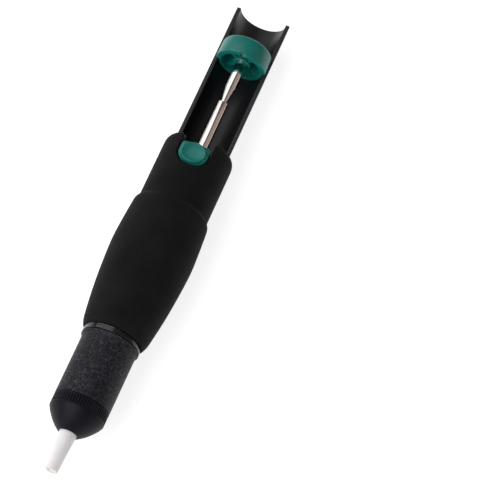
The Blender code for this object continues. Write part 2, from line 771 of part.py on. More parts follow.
def build_latch_spring(parts):
    length = LATCH_LOW - GAP - LATCH_SPRING_LOW
    return coil("latch_spring", (BUTTON_STATION - 0.2 * MM, 0.0, LATCH_SPRING_LOW), "Z", length,
                LATCH_SPRING_RADIUS, LATCH_SPRING_WIRE, LATCH_SPRING_TURNS, parts,
                material("steel", STEEL, 0.25, 1.0))


def main():
    clear_scene()
    parts = new_collection("desoldering_pump")
    cutters = new_collection("cutters")
    pin_hole = cross_pin_hole(cutters)
    build_nozzle(parts)
    build_nose_cone(parts)
    build_nose_o_ring(parts)
    build_front_barrel(parts)
    build_barrel_o_ring(parts)
    build_collar(parts)
    build_main_barrel(parts, pin_hole)
    build_cross_pins(parts)
    build_spring_seat(parts)
    build_main_spring(parts)
    build_piston(parts)
    build_piston_o_ring(parts)
    build_piston_washer(parts)
    build_piston_nut(parts, cutters)
    build_piston_rod(parts)
    build_cleaning_pin(parts)
    build_bumper(parts)
    build_rod_bush(parts)
    build_grip(parts, cutters)
    build_rear_housing(parts, cutters, pin_hole)
    build_knob(parts, cutters)
    build_release_button(parts, cutters)
    build_latch_plate(parts, cutters)
    build_latch_spring(parts)


main()
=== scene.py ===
"""Looks of a desoldering pump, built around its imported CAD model.

The pump lies along X with its nozzle towards -X and its open guard facing +Z. Outlines of
turned pieces are lists of (x, radius) pairs in metres, in the model's own frame. Angles
round the pump's axis are measured from +Z, where the button is, towards +Y.
"""

import math

import bmesh
import bpy
from mathutils import Matrix, Vector


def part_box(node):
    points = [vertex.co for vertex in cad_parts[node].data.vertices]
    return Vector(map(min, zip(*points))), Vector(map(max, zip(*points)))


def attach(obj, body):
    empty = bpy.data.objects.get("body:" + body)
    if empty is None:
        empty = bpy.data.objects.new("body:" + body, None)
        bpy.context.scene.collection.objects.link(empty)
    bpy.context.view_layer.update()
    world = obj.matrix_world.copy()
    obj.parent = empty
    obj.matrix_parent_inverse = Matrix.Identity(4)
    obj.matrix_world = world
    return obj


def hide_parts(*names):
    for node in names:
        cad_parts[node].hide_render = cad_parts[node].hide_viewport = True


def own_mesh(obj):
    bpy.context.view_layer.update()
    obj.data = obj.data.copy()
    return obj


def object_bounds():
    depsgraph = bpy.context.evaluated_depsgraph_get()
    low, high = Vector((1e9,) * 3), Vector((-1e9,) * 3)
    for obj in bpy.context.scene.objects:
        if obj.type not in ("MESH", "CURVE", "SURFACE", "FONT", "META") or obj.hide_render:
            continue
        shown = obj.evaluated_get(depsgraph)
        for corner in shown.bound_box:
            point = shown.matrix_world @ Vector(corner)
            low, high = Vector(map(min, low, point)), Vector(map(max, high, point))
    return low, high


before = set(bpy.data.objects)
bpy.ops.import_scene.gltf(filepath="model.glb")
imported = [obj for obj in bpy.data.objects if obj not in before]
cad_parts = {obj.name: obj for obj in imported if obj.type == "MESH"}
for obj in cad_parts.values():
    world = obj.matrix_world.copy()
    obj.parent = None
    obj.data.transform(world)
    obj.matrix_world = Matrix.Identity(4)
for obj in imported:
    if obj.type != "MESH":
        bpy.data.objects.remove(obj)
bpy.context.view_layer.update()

MM = 0.001
TAU = 2 * math.pi
# A CAD ring's flats against its true radius: large rings, small ones and the needle
FACET = math.cos(math.pi / 36)
SMALL_FACET = math.cos(math.pi / 24)
NEEDLE_FACET = math.cos(math.pi / 16)
# Sides around the large turned pieces, and around rings, rods and pins
SIDES = 144
SMALL_SIDES = 96

# The camera: its lean in the picture, its tilt along the pump and round it, and its aim
LEAN = math.radians(24.4)
TILT = math.radians(24.8)
ROLL = math.radians(7.9)
DISTANCE = 0.947
LENS = 195.2
AIM = (29.8 * MM, 0.6 * MM)  # how far right of the pump's middle, and above, it looks
AIM_STATION = -3.5 * MM
LAMP_STATION = 20 * MM  # where on the axis the lamps point


class Span:
    """Where a CAD node starts and ends along the axis, and its radius."""

    def __init__(self, node, facet=FACET):
        low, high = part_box(node)
        self.start = low.x
        self.end = high.x
        self.radius = (high.y - low.y) / 2 / facet


rod_low, rod_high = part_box("piston_rod")
AXIS_Z = (rod_low.z + rod_high.z) / 2


# Outlines

def rounded(outline, size, steps, closed=True):
    """The outline with its corners rounded off, none by more than size."""
    limit = 0.45  # of a side
    result = []
    count = len(outline)
    for index, corner in enumerate(outline):
        if not closed and index in (0, count - 1):
            result.append(corner)
            continue
        here = Vector(corner)
        before = Vector(outline[index - 1]) - here
        after = Vector(outline[(index + 1) % count]) - here
        if before.length < 1e-7 or after.length < 1e-7:
            continue
        if before.angle(after) > math.radians(165):
            result.append(corner)
            continue
        cut = min(size, before.length * limit, after.length * limit)
        first = here + before.normalized() * cut
        last = here + after.normalized() * cut
        for step in range(steps + 1):
            t = step / steps
            point = first * (1 - t) ** 2 + here * (2 * t * (1 - t)) + last * t * t
            result.append((point.x, point.y))
    return result


def smooth(points, pieces):
    """A Catmull-Rom curve through the points."""
    ends = [points[0]] + list(points) + [points[-1]]
    curve = []
    for index in range(1, len(ends) - 2):
        p0, p1, p2, p3 = ends[index - 1:index + 3]
        for step in range(pieces):
            t = step / pieces
            curve.append(tuple(
                0.5 * (2 * b + (c - a) * t + (2 * a - 5 * b + 4 * c - d) * t * t
                       + (3 * b - a - 3 * c + d) * t ** 3)
                for a, b, c, d in zip(p0, p1, p2, p3)))
    curve.append(tuple(points[-1]))
    return curve


def measured(station, points, radius=0.0):
    """Points given in millimetres from a station and from a radius."""
    return [(station + x * MM, radius + out * MM) for x, out in points]


def divided(start, end, pieces):
    """Points from start to end, both included."""
    return [tuple(a + (b - a) * step / pieces for a, b in zip(start, end))
            for step in range(pieces + 1)]


def ring(start, end, inner, outer):
    """The outline of a plain ring."""
    return [(start, inner), (start, outer), (end, outer), (end, inner)]


def ease(value):
    """0 below 0, 1 above 1, and a smooth step between."""
    t = min(1.0, max(0.0, value))
    return t * t * (3 - 2 * t)


# Makers

def add_object(name, data):
    item = bpy.data.objects.new(name, data)
    bpy.context.scene.collection.objects.link(item)
    return item


def coat(item, look):
    """Gives an object one material and no other."""
    item.data.materials.clear()
    item.data.materials.append(look)


def shade(item, sharp):
    """Smooth shading, apart from edges sharper than the angle in degrees."""
    item.data.shade_smooth()
    item.data.set_sharp_from_angle(angle=math.radians(sharp))


def finish_mesh(name, shape, sharp=40):
    """Turns a bmesh into a smooth-shaded object with its faces pointing out."""
    bmesh.ops.recalc_face_normals(shape, faces=shape.faces)
    mesh = bpy.data.meshes.new(name)
    shape.to_mesh(mesh)
    shape.free()
    item = add_object(name, mesh)
    shade(item, sharp)
    return item


def join_rows(work, rows):
    """Faces between each closed row of points and the next, where they don't fall together."""
    for first, second in zip(rows, rows[1:]):
        for step in range(len(first)):
            after = (step + 1) % len(first)
            corners = [first[step], first[after], second[after], second[step]]
            unique = list(dict.fromkeys(corners))
            if len(unique) > 2:
                work.faces.new(unique)


def around(x, radius, angle):
    """The point at an angle round the pump's axis."""
    return Vector((x, radius * math.sin(angle), AXIS_Z + radius * math.cos(angle)))


def lathe(name, outline, sides=SIDES, closed=True, shape=None, sharp=40):
    """A turned piece. shape(angle, x, radius) gives a point's own radius where it varies."""
    work = bmesh.new()
    rows = []
    for x, radius in outline:
        if radius <= 1e-7:
            rows.append([work.verts.new(around(x, 0.0, 0.0))] * sides)
            continue
        row = []
        for step in range(sides):
            angle = TAU * step / sides
            own = shape(angle, x, radius) if shape else radius
            row.append(work.verts.new(around(x, own, angle)))
        rows.append(row)
    join_rows(work, rows + rows[:1] if closed else rows)
    return finish_mesh(name, work, sharp)


def block(name, low, high):
    """A cutter between two corners."""
    work = bmesh.new()
    bmesh.ops.create_cube(work, size=1.0)
    size = [b - a for a, b in zip(low, high)]
    middle = [(a + b) / 2 for a, b in zip(low, high)]
    bmesh.ops.scale(work, vec=size, verts=work.verts)
    bmesh.ops.translate(work, vec=middle, verts=work.verts)
    return finish_mesh(name, work, 30)


def peg(name, centre, radius, depth, axis, sides=64):
    """A cylindrical cutter along one of the world's axes."""
    work = bmesh.new()
    bmesh.ops.create_cone(work, cap_ends=True, segments=sides, radius1=radius, radius2=radius,
                          depth=depth)
    turn = {"X": Matrix.Rotation(math.pi / 2, 3, "Y"), "Y": Matrix.Rotation(math.pi / 2, 3, "X"),
            "Z": Matrix.Identity(3)}[axis]
    bmesh.ops.rotate(work, matrix=turn, verts=work.verts)
    bmesh.ops.translate(work, vec=centre, verts=work.verts)
    return finish_mesh(name, work, 30)


def apply_modifiers(item):
    """Leaves the evaluated mesh on the object, and no modifier."""
    graph = bpy.context.evaluated_depsgraph_get()
    mesh = bpy.data.meshes.new_from_object(item.evaluated_get(graph))
    item.modifiers.clear()
    item.data = mesh


def combine(item, cutters, operation="DIFFERENCE"):
    """Cuts the item with each cutter, or joins them to it, and removes the cutters."""
    for cutter in cutters:
        modifier = item.modifiers.new("combine", "BOOLEAN")
        modifier.operation = operation
        modifier.solver = "EXACT"
        modifier.object = cutter
    apply_modifiers(item)
    for cutter in cutters:
        bpy.data.objects.remove(cutter, do_unlink=True)
    return item


def bevel_edges(item, width, chosen):
    """Rounds the sharp edges whose two ends both satisfy chosen(position)."""
    work = bmesh.new()
    work.from_mesh(item.data)
    bmesh.ops.remove_doubles(work, verts=work.verts, dist=0.002 * MM)
    edges = [edge for edge in work.edges
             if len(edge.link_faces) == 2
             and edge.calc_face_angle(0.0) > math.radians(30)
             and all(chosen(corner.co) for corner in edge.verts)]
    bmesh.ops.bevel(work, geom=edges, offset=width, offset_type="OFFSET", segments=3,
                    profile=0.5, affect="EDGES", clamp_overlap=True)
    work.to_mesh(item.data)
    work.free()
    shade(item, 40)


def wire(name, points, radius, sides=16):
    """A round wire along the points, closed at both ends."""
    work = bmesh.new()
    rows = []
    count = len(points)
    for index, point in enumerate(points):
        ahead = points[min(index + 1, count - 1)] - points[max(index - 1, 0)]
        ahead.normalize()
        across = ahead.cross(Vector((0.31, 0.57, 0.76))).normalized()
        if rows:
            across = (previous - ahead * previous.dot(ahead)).normalized()
        previous = across
        other = ahead.cross(across)
        rows.append([work.verts.new(point + (across * math.cos(TAU * step / sides)
                                             + other * math.sin(TAU * step / sides)) * radius)
                     for step in range(sides)])
    join_rows(work, rows)
    work.faces.new(rows[0])
    work.faces.new(rows[-1])
    return finish_mesh(name, work, 50)


def spring_points(start, direction, across, length, radius, wire_size, turns):
    """The middle line of a compression spring with a closed turn at each end."""
    per_turn = 32
    direction = Vector(direction)
    across = Vector(across)
    other = direction.cross(across)
    closed_pitch = wire_size * 1.05
    open_pitch = (length - wire_size - 2 * closed_pitch) / (turns - 2)
    points = []
    height = wire_size / 2
    count = turns * per_turn
    for step in range(count + 1):
        angle = TAU * step / per_turn
        points.append(Vector(start) + direction * height
                      + (across * math.cos(angle) + other * math.sin(angle)) * radius)
        closed = step < per_turn or step >= count - per_turn
        height += (closed_pitch if closed else open_pitch) / per_turn
    return points


def install(item, body, node, look):
    """Puts a finished piece in place of a CAD node."""
    coat(item, look)
    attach(item, body)
    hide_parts(node)
    return item


# Materials

WAVE_PERIOD = 0.314  # of the wave texture at scale 1


class Look:
    """A Principled material and the small node helpers that its surface is made with."""

    def __init__(self, name, colour, roughness, metallic=0.0, specular=0.5):
        self.material = bpy.data.materials.new(name)
        self.material.use_nodes = True
        self.tree = self.material.node_tree
        self.shader = self.tree.nodes["Principled BSDF"]
        self.set("Base Color", (*colour, 1.0))
        self.set("Roughness", roughness)
        self.set("Metallic", metallic)
        self.set("Specular IOR Level", specular)
        self.where = self.tree.nodes.new("ShaderNodeTexCoord").outputs["Object"]

    def set(self, socket, value):
        self.shader.inputs[socket].default_value = value

    def feed(self, socket, output):
        self.tree.links.new(output, self.shader.inputs[socket])

    def make(self, kind, links=(), **values):
        node = self.tree.nodes.new(kind)
        for key, value in values.items():
            if key in node.inputs:
                node.inputs[key].default_value = value
            else:
                setattr(node, key, value)
        for key, output in dict(links).items():
            self.tree.links.new(output, node.inputs[key])
        return node

    def noise(self, size, detail, stretch=None, roughness=0.5):
        where = self.where
        if stretch:
            where = self.make("ShaderNodeMapping", {"Vector": where}, Scale=stretch).outputs[0]
        node = self.make("ShaderNodeTexNoise", {"Vector": where}, Scale=1 / size, Detail=detail,
                         Roughness=roughness)
        return node.outputs["Fac"]

    def cells(self, size, feature):
        node = self.make("ShaderNodeTexVoronoi", {"Vector": self.where}, feature=feature,
                         Scale=1 / size)
        return node.outputs["Distance"]

    def rings(self, pitch):
        """Turning marks: bands along the pump's axis."""
        node = self.make("ShaderNodeTexWave", {"Vector": self.where}, wave_type="BANDS",
                         bands_direction="X", Scale=WAVE_PERIOD / pitch, Distortion=1.5,
                         Detail=2.0, **{"Detail Scale": 3.0})
        return node.outputs["Fac"]

    def along(self, start, end):
        """0 at x = start and 1 at x = end."""
        split = self.make("ShaderNodeSeparateXYZ", {"Vector": self.where})
        return self.range(split.outputs["X"], start, end, kind="SMOOTHSTEP")

    def range(self, output, low, high, out_low=0.0, out_high=1.0, kind="LINEAR"):
        limits = {"From Min": low, "From Max": high, "To Min": out_low, "To Max": out_high}
        node = self.make("ShaderNodeMapRange", {"Value": output}, interpolation_type=kind,
                         **limits)
        return node.outputs["Result"]

    def mix(self, amount, first, second):
        """A colour between first and second, each a colour or an output."""
        node = self.make("ShaderNodeMix", {"Factor": amount}, data_type="RGBA")
        for socket, value in ((node.inputs[6], first), (node.inputs[7], second)):
            if isinstance(value, tuple):
                socket.default_value = (*value, 1.0)
            else:
                self.tree.links.new(value, socket)
        return node.outputs[2]

    def vary(self, output, low, high, first, second):
        """A colour that goes from first to second as the output goes from low to high."""
        return self.mix(self.range(output, low, high), first, second)

    def math(self, operation, first, second):
        node = self.make("ShaderNodeMath", operation=operation)
        for socket, value in zip(node.inputs, (first, second)):
            if isinstance(value, (int, float)):
                socket.default_value = value
            else:
                self.tree.links.new(value, socket)
        return node.outputs["Value"]

    def edges(self, low=0.53, high=0.62):
        """1 on worn convex edges, 0 elsewhere."""
        point = self.make("ShaderNodeNewGeometry").outputs["Pointiness"]
        return self.range(point, low, high)

    def scatter(self, weight, radius):
        """Light that enters the surface and spreads by the given radius of each colour."""
        self.set("Subsurface Weight", weight)
        self.set("Subsurface Radius", radius)
        self.set("Subsurface Scale", 1.0)

    def bump(self, height, depth, below=None):
        node = self.make("ShaderNodeBump", {"Height": height}, Strength=1.0, Distance=depth)
        if below:
            self.tree.links.new(below, node.inputs["Normal"])
        self.feed("Normal", node.outputs["Normal"])
        return node.outputs["Normal"]


def satin_black(name, colour=(0.008, 0.008, 0.0095), roughness=0.36, specular=0.5, wear_and_highlight=0.035):
    """Moulded ABS: spark-eroded grain, faint flow marks, scuffs and paler edges, which are wear
    and, where their colour is set high, also a painted highlight.
    """
    look = Look(name, colour, roughness, specular=specular)
    flow = look.noise(14 * MM, 3.0, (0.3, 1.0, 1.0))
    scuffs = look.range(look.noise(0.9 * MM, 6.0, (0.12, 1.0, 1.0), 0.7), 0.55, 0.75)
    tone = look.vary(flow, 0.3, 0.7, colour, tuple(part * 1.5 for part in colour))
    # Paler convex edges: wear, and also a painted highlight where the edge colour is set high, as
    # on the nose cap.
    pale_edges = look.math("MULTIPLY", look.edges(), look.noise(1.6 * MM, 4.0))
    look.feed("Base Color", look.mix(pale_edges, tone, (wear_and_highlight, wear_and_highlight, wear_and_highlight * 1.08)))
    base = look.range(flow, 0.3, 0.7, roughness - 0.04, roughness + 0.05)
    look.feed("Roughness", look.math("ADD", base, look.math("MULTIPLY", scuffs, 0.12)))
    grain = look.bump(look.noise(0.16 * MM, 4.0), 0.012 * MM)
    look.bump(look.noise(3.0 * MM, 2.0), 0.02 * MM, grain)
    return look.material


def pebble_black():
    """The front barrel's leather-like grain: rounded cells with fine grit over them."""
    look = Look("pebble_black", (0.012, 0.012, 0.016), 0.5, specular=0.2)
    cells = look.cells(0.62 * MM, "SMOOTH_F1")
    small = look.cells(0.26 * MM, "F1")
    grit = look.noise(0.12 * MM, 4.0)
    height = look.math("ADD", look.math("MULTIPLY", cells, -1.0),
                       look.math("MULTIPLY", small, -0.35))
    raised = look.range(cells, 0.1, 0.55, 1.0, 0.0)
    handled = look.range(look.noise(7 * MM, 2.0), 0.35, 0.65, 0.35, 1.35)
    rubbed = look.math("MULTIPLY", handled,
                       look.range(look.noise(1.5 * MM, 5.0, None, 0.65), 0.4, 0.68))
    grain = look.mix(raised, (0.009, 0.009, 0.012), (0.022, 0.022, 0.029))
    look.feed("Base Color", look.mix(look.math("MULTIPLY", rubbed, raised), grain,
                                     (0.068, 0.068, 0.084)))
    look.feed("Roughness", look.range(raised, 0.0, 1.0, 0.6, 0.48))
    coarse = look.bump(height, 0.05 * MM)
    look.bump(grit, 0.012 * MM, coarse)
    return look.material


def gloss_black():
    """The collar's polished moulding, with faint smudges and pale edges that are a painted
    highlight.
    """
    look = Look("gloss_black", (0.008, 0.008, 0.009), 0.12, specular=0.5)
    look.set("Coat Weight", 0.15)
    look.set("Coat Roughness", 0.06)
    smudge = look.noise(3.5 * MM, 5.0, None, 0.6)
    look.feed("Roughness", look.range(smudge, 0.35, 0.65, 0.07, 0.34))
    # Pale rims: a painted highlight along the edges, broken up by noise.
    pale_edges = look.math("MULTIPLY", look.edges(), look.range(look.noise(0.8 * MM, 3.0), 0.3, 0.6,
                                                          0.3, 1.0))
    look.feed("Base Color", look.mix(pale_edges, (0.008, 0.008, 0.009), (0.16, 0.16, 0.165)))
    look.bump(look.noise(1.4 * MM, 2.0), 0.006 * MM)
    return look.material


def foam_black():
    """Closed-cell foam rubber: pores, a dusty bloom and slightly uneven tone."""
    look = Look("foam_black", (0.0055, 0.0055, 0.006), 0.92, specular=0.12)
    pores = look.cells(0.34 * MM, "F1")
    patch = look.noise(9 * MM, 4.0)
    dust = look.range(look.noise(0.5 * MM, 6.0, None, 0.7), 0.56, 0.7)
    tone = look.vary(patch, 0.35, 0.65, (0.006, 0.006, 0.006), (0.0095, 0.0095, 0.0092))
    look.feed("Base Color", look.mix(look.math("MULTIPLY", dust, 0.25), tone,
                                     (0.02, 0.02, 0.02)))
    look.feed("Roughness", look.range(pores, 0.0, 0.6, 1.0, 0.82))
    look.set("Sheen Weight", 0.02)
    look.set("Sheen Roughness", 0.5)
    fine = look.bump(pores, 0.035 * MM)
    look.bump(look.noise(1.2 * MM, 4.0), 0.03 * MM, fine)
    return look.material


def teal_plastic():
    """Semi-gloss coloured moulding with slight flow variation and rubbed edges."""
    look = Look("teal_plastic", (0.004, 0.175, 0.138), 0.32, specular=0.38)
    flow = look.noise(5 * MM, 4.0)
    tone = look.vary(flow, 0.3, 0.7, (0.004, 0.158, 0.131), (0.007, 0.198, 0.168))
    pale_edges = look.math("MULTIPLY", look.edges(0.54, 0.66), look.noise(0.9 * MM, 3.0))
    look.feed("Base Color", look.mix(pale_edges, tone, (0.04, 0.29, 0.25)))
    scuffs = look.range(look.noise(0.5 * MM, 6.0, None, 0.7), 0.5, 0.75, 0.0, 0.16)
    look.feed("Roughness", look.math("ADD", look.range(flow, 0.3, 0.7, 0.27, 0.35), scuffs))
    look.scatter(0.08, (0.0006, 0.0012, 0.001))
    look.bump(look.noise(0.35 * MM, 3.0), 0.008 * MM)
    return look.material


def ptfe_white(tip, root):
    """Waxy white PTFE: light passes into it, a faint glow is painted light standing in for light
    through it from behind, and its tip is a little heat-stained.
    """
    look = Look("ptfe_white", (0.90, 0.89, 0.89), 0.42, specular=0.35)
    blotch = look.noise(1.3 * MM, 5.0)
    near_tip = look.range(look.along(tip, tip + (root - tip) * 0.2), 0.0, 1.0, 0.35, 0.0)
    rim = look.range(look.along(tip, tip + 0.6 * MM), 0.0, 1.0, 0.45, 0.0)
    stain = look.math("ADD", rim, look.math("MULTIPLY", near_tip,
                                            look.range(blotch, 0.3, 0.7, 0.2, 1.0)))
    tone = look.vary(blotch, 0.3, 0.7, (0.77, 0.755, 0.76), (0.83, 0.81, 0.81))
    look.feed("Base Color", look.mix(stain, tone, (0.55, 0.49, 0.47)))
    look.feed("Roughness", look.range(blotch, 0.3, 0.7, 0.36, 0.5))
    look.scatter(0.6, (0.0025, 0.0023, 0.0021))
    # Painted light: a faint glow stands in for light reaching the nozzle through it from behind.
    look.set("Emission Color", (1.0, 0.97, 0.97, 1.0))
    look.set("Emission Strength", 0.1)
    marks = look.bump(look.rings(0.16 * MM), 0.004 * MM)
    look.bump(look.noise(0.25 * MM, 4.0), 0.006 * MM, marks)
    return look.material


def metal(name, colour, roughness, pitch, depth=0.003 * MM, tint=0.75):
    """Turned, drawn or plated metal, with marks round the axis and a little tarnish."""
    look = Look(name, colour, roughness, metallic=1.0)
    tarnish = look.range(look.noise(2.2 * MM, 6.0, None, 0.65), 0.45, 0.75)
    dark = tuple(part * tint for part in colour)
    look.feed("Base Color", look.mix(tarnish, colour, dark))
    streaks = look.noise(0.7 * MM, 5.0, (1.0, 0.2, 0.2))
    look.feed("Roughness", look.range(streaks, 0.3, 0.75, roughness * 0.8, roughness * 1.6))
    marks = look.bump(look.rings(pitch), depth)
    look.bump(look.noise(0.5 * MM, 3.0), depth, marks)
    return look.material


def acetal_white():
    """Machined acetal: waxy, with turning marks."""
    look = Look("acetal_white", (0.72, 0.71, 0.66), 0.36)
    cloud = look.noise(3 * MM, 4.0)
    look.feed("Base Color", look.vary(cloud, 0.3, 0.7, (0.68, 0.67, 0.61), (0.77, 0.76, 0.72)))
    look.feed("Roughness", look.range(cloud, 0.3, 0.7, 0.3, 0.42))
    look.set("Subsurface Weight", 0.15)
    look.set("Subsurface Radius", (0.001, 0.0009, 0.0007))
    look.bump(look.rings(0.2 * MM), 0.006 * MM)
    return look.material


def seal_rubber():
    """Nitrile rubber with a film of silicone grease."""
    look = Look("seal_rubber", (0.012, 0.012, 0.012), 0.45)
    film = look.noise(1.2 * MM, 5.0)
    look.feed("Base Color", look.vary(film, 0.3, 0.7, (0.009, 0.009, 0.009),
                                      (0.022, 0.022, 0.021)))
    look.feed("Roughness", look.range(film, 0.35, 0.65, 0.25, 0.62))
    look.bump(look.noise(0.2 * MM, 4.0), 0.006 * MM)
    return look.material


# Nose

THREAD_PITCH = 1.5 * MM
THREAD_DEPTH = 0.28 * MM
RUN_OUT = 0.6 * MM  # where a thread fades in and out
RIBS = 60
RIB_DEPTH = 0.34 * MM


def thread(angle, x, radius, first, last, inward):
    """A right-hand thread's radius, with its run-out at both ends."""
    phase = (x / THREAD_PITCH - math.atan2(-math.sin(angle), math.cos(angle)) / TAU) % 1.0
    tooth = 1 - abs(2 * phase - 1)
    fade = ease((x - first) / RUN_OUT) * ease((last - x) / RUN_OUT)
    height = THREAD_DEPTH * ease(tooth * 1.3 - 0.1) * fade
    return radius - height if inward else radius + height


def make_nozzle(look):
    span = Span("nozzle", SMALL_FACET)
    cone = Span("nose_cone")
    bore = 1.3 * MM
    tip = 2.5 * MM
    root = 3.3 * MM
    flange = span.end - 1.3 * MM
    outline = [(span.start, bore), (span.start, tip), (cone.start, root), (flange, root),
               (flange, span.radius), (span.end, span.radius), (span.end, bore)]
    item = lathe("nozzle_tip", rounded(outline, 0.5 * MM, 6), SMALL_SIDES)
    install(item, "nose", "nozzle", look)


def make_nose_cone(look):
    """A bullet-shaped cap with a finely ribbed band and a thread in its socket."""
    span = Span("nose_cone")
    hole = 3.5 * MM
    socket = 7.9 * MM
    recess = 6.7 * MM
    corner = span.start + 7.6 * MM
    seat = span.start + 3.3 * MM
    socket_start = span.start + 5.0 * MM
    bullet = smooth(measured(span.start, [(0.03, 3.95), (1.2, 5.45), (2.8, 7.1), (4.45, 8.45),
                                          (6.1, 9.62)]) + [(corner, span.radius)], 6)
    band_start = corner + 0.15 * MM
    band_end = span.end - 0.3 * MM
    face = rounded([(seat, hole), (span.start, hole), bullet[0], bullet[1]],
                   0.2 * MM, 4, closed=False)[1:-1]
    rear = rounded([(band_end, span.radius), (span.end, span.radius - 0.05 * MM),
                    (span.end, socket), (socket_start, socket)], 0.25 * MM, 4, closed=False)
    inside = divided((span.end - 0.3 * MM, socket), (socket_start + 0.3 * MM, socket), 44)
    outline = [(seat, hole)] + face + bullet[1:]
    outline += divided((band_start, span.radius), (band_end, span.radius), 12) + rear[1:-1]
    outline += inside + [(socket_start, socket), (socket_start, recess), (seat, recess)]

    def shape(angle, x, radius):
        if radius > span.radius - 0.3 * MM and x > corner:
            fade = ease((x - band_start - 0.1 * MM) / (0.4 * MM))
            fade *= ease((span.end - 0.15 * MM - x) / (0.3 * MM))
            wave = (0.5 - 0.5 * math.cos(angle * RIBS)) ** 2.5
            return radius - RIB_DEPTH * wave * fade
        if abs(radius - socket) < 0.02 * MM:
            return thread(angle, x, radius, socket_start, span.end, inward=True)
        return radius

    item = lathe("nose_cap", outline, RIBS * 8, shape=shape, sharp=50)
    install(item, "nose", "nose_cone", look)


def make_ring(name, node, body, look, facet=FACET):
    """An O-ring with the faint flash line that its mould leaves."""
    low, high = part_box(node)
    section = (high.x - low.x) / 2
    middle = (low.x + high.x) / 2
    centre = (high.y - low.y) / 2 / facet - section
    outline = []
    for step in range(32):
        angle = TAU * step / 32
        size = section * (1.03 if step % 16 == 8 else 1.0)
        outline.append((middle + size * math.cos(angle), centre + size * math.sin(angle)))
    install(lathe(name, outline, SMALL_SIDES), body, node, look)


# Barrels

def make_front_barrel(look):
    span = Span("front_barrel")
    cone = Span("nose_cone")
    body = cone.radius + 0.03 * MM
    shoulder = cone.end + 0.3 * MM
    spigot = 7.6 * MM
    mouth = 5.8 * MM
    chamber = 9.0 * MM
    lip = span.radius
    root = spigot - THREAD_DEPTH
    front = rounded([(span.start, mouth), (span.start, spigot - 0.25 * MM),
                     (span.start + 0.4 * MM, root)], 0.2 * MM, 3, closed=False)
    threads = divided((span.start + 0.5 * MM, root), (shoulder - 0.3 * MM, root), 44)
    skin = rounded([(shoulder, root), (shoulder, body - 0.05 * MM),
                    (shoulder + 0.35 * MM, body)], 0.3 * MM, 4, closed=False)
    flare = smooth(measured(span.end, [(-2.2, 0.0), (-1.7, 0.04), (-1.1, 0.27)], body)
                   + [(span.end - 0.55 * MM, lip - 0.12 * MM)], 5)
    rear = rounded([(span.end - 0.35 * MM, lip), (span.end, lip),
                    (span.end, chamber + 0.3 * MM), (span.end - 0.3 * MM, chamber)],
                   0.25 * MM, 5, closed=False)
    inside = [(span.start + 7.9 * MM, chamber), (span.start + 6.4 * MM, mouth)]
    outline = front + threads + skin + flare + rear + inside

    def shape(angle, x, radius):
        if abs(radius - root) < 0.01 * MM:
            return thread(angle, x, radius, span.start + 0.3 * MM, shoulder, inward=False)
        return radius

    item = lathe("solder_barrel", outline, 180, shape=shape)
    install(item, "housing", "front_barrel", look)


def make_collar(look):
    """A glossy ring in two bands, with the bayonet's slot cut out of the rear one."""
    span = Span("collar")
    inner = 9.9 * MM
    groove = span.start + 1.2 * MM
    rear = span.radius - 0.15 * MM
    front = rounded([(span.end, inner), (span.start, inner), (span.start, span.radius),
                     (groove - 0.6 * MM, span.radius)], 0.2 * MM, 4, closed=False)[1:]
    back = rounded(measured(groove, [(-0.14, 0.0), (-0.05, -0.3), (0.05, -0.3)], span.radius)
                   + [(groove + 0.14 * MM, rear), (span.end, rear), (span.end, inner)],
                   0.15 * MM, 4, closed=False)
    outline = front + divided(front[-1], back[0], 8)[1:-1] + back
    slot_start = math.radians(-100)
    slot_end = math.radians(-16)
    soft = math.radians(1.2)

    def shape(angle, x, radius):
        turn = angle if angle < math.pi else angle - TAU
        inside = ease((turn - slot_start) / soft) * ease((slot_end - turn) / soft)
        behind = min(1.0, max(0.0, (x - groove + 0.5 * MM) / (0.6 * MM)))
        if radius > inner + 0.6 * MM:
            return radius - 0.55 * MM * inside * behind ** 2
        return radius

    item = lathe("barrel_collar", outline, 360, shape=shape)
    install(item, "housing", "collar", look)


def pin_hole():
    """The cutter for the cross pins' hole."""
    low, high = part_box("housing_pin_left")
    return peg("pin_hole", ((low.x + high.x) / 2, 0.0, AXIS_Z), 1.0 * MM, 30 * MM, "Y", 32)


def make_main_barrel(look):
    span = Span("main_barrel")
    lip = Span("front_barrel")
    spigot = 8.7 * MM
    shoulder = lip.end + 0.2 * MM
    groove = span.start + 3.0 * MM
    seal = [(groove, spigot), (groove, 7.5 * MM), (groove + 1.6 * MM, 7.5 * MM),
            (groove + 1.6 * MM, spigot)]
    tube = [(shoulder, spigot), (shoulder, span.radius), (span.end, span.radius)]
    bore = [(span.end, 8.2 * MM)] + measured(span.start, [(8.3, 8.2), (8.3, 6.6)])
    outline = [(span.start, 6.6 * MM), (span.start, spigot)] + seal + tube + bore
    item = lathe("cylinder_tube", rounded(outline, 0.25 * MM, 3))
    combine(item, [pin_hole()])
    shade(item, 40)
    install(item, "housing", "main_barrel", look)


# Plunger and inner pieces

def make_rod(look):
    span = Span("piston_rod", SMALL_FACET)
    radius = span.radius
    stud = 1.4 * MM
    shoulder = span.start + 15.1 * MM
    neck = span.start + 58.45 * MM
    taper = neck + 6.95 * MM
    narrow = 1.2 * MM
    front = [(span.start, 0.0), (span.start, stud), (shoulder, stud), (shoulder, radius)]
    latch = [(neck, radius), (neck, narrow), (neck + 0.75 * MM, narrow), (taper, radius)]
    rear = [(span.end, radius), (span.end, 0.0)]
    outline = rounded(front + latch + rear, 0.12 * MM, 3, closed=False)

    def shape(angle, x, own):
        if x < span.start + 10 * MM and abs(own - stud) < 0.01 * MM:
            phase = (x / (0.5 * MM) + angle / TAU) % 1.0
            return own - 0.15 * MM * abs(2 * phase - 1)
        return own

    tip = span.start + 0.2 * MM
    start = [point for point in outline if point[0] <= tip]
    rest = [point for point in outline if point[0] > tip]
    threads = divided((span.start + 0.25 * MM, stud), (span.start + 9.5 * MM, stud), 110)
    item = lathe("plunger_rod", start + threads + rest, SMALL_SIDES, closed=False, shape=shape)
    install(item, "plunger", "piston_rod", look)


